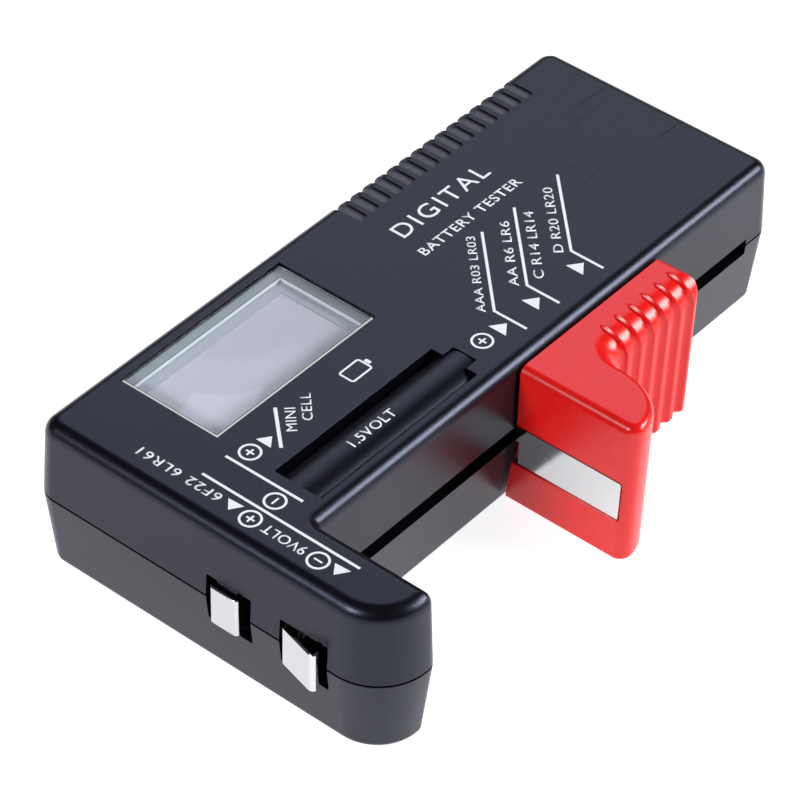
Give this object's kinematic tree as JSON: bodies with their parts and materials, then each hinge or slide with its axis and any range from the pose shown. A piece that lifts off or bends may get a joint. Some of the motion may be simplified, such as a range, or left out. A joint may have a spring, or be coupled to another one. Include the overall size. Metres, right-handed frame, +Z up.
{
  "type": "battery tester",
  "caption": "Handheld battery tester with a display, a sliding clamp that holds a round cell against the foot, and spring contacts for a 9 V block on its end.",
  "frame": {"origin": "on the underside, at the middle of the case's length and of the foot's width", "axes": "+Z up out of the display face, +Y from the foot with the 9 V contacts to the far end, +X towards the side the slider runs on"},
  "size_m": [0.0616, 0.1111, 0.0248],
  "materials": {
    "case_black": "satin moulded black plastic",
    "slider_red": "glossy moulded red plastic",
    "window_clear": "clear plastic lens",
    "lcd": "blank grey display glass",
    "reflector": "pale reflector sheet",
    "white_plastic": "moulded white plastic",
    "zebra_rubber": "striped conductive rubber",
    "board_green": "solder-masked circuit board",
    "epoxy_black": "black potting epoxy",
    "resistor_body": "coated resistor body",
    "ferrite": "sleeved ferrite drum",
    "capacitor_sleeve": "shrunk plastic sleeve",
    "trimmer_blue": "blue trimmer body",
    "screw_steel": "zinc-plated steel",
    "contact_steel": "polished nickel-plated steel",
    "contact_brass": "plain brass",
    "wire_red": "red insulation",
    "wire_black": "black insulation"
  },
  "bodies": {
    "case": {"upper_shell": "case_black", "lower_shell": "case_black", "display_window": "window_clear", "lcd_holder": "white_plastic", "lcd_panel": "lcd", "lcd_reflector": "reflector", "lcd_connector_left": "zebra_rubber", "lcd_connector_right": "zebra_rubber", "circuit_board": "board_green", "chip_blob": "epoxy_black", "load_resistor_cell": "resistor_body", "load_resistor_9v": "resistor_body", "boost_inductor": "ferrite", "capacitor": "capacitor_sleeve", "trimmer": "trimmer_blue", "transistor": "epoxy_black", "board_screw_1": "screw_steel", "board_screw_2": "screw_steel", "case_screw_1": "screw_steel", "case_screw_2": "screw_steel", "case_screw_3": "screw_steel", "case_screw_4": "screw_steel", "contact_9v_positive": "contact_steel", "contact_rail": "contact_brass", "wire_9v_positive": "wire_red", "wire_9v_negative": "wire_black", "wire_cell_negative": "wire_black", "wire_rail": "wire_red"},
    "slider": {"slider_grip": "slider_red", "slider_contact": "contact_steel", "slider_wiper": "contact_brass"},
    "nine_volt_tab": {"contact_9v_negative": "contact_steel"},
    "cell_leaf": {"contact_cell": "contact_steel"}
  },
  "joints": [
    {"name": "slider_travel", "type": "slide", "parent": "case", "child": "slider", "axis": [0, 1, 0], "range_m": [-0.038, 0.026]},
    {"name": "nine_volt_tab_flex", "type": "hinge", "parent": "case", "child": "nine_volt_tab", "pos_m": [0.0134, -0.05465, 0.01215], "axis": [0, 0, 1], "range_deg": [0, 11], "stiffness_Nm_per_rad": 0.02},
    {"name": "cell_leaf_flex", "type": "hinge", "parent": "case", "child": "cell_leaf", "pos_m": [0.0129, -0.0441, 0.0103], "axis": [0, 0, -1], "range_deg": [0, 5], "stiffness_Nm_per_rad": 0.04}
  ]
}
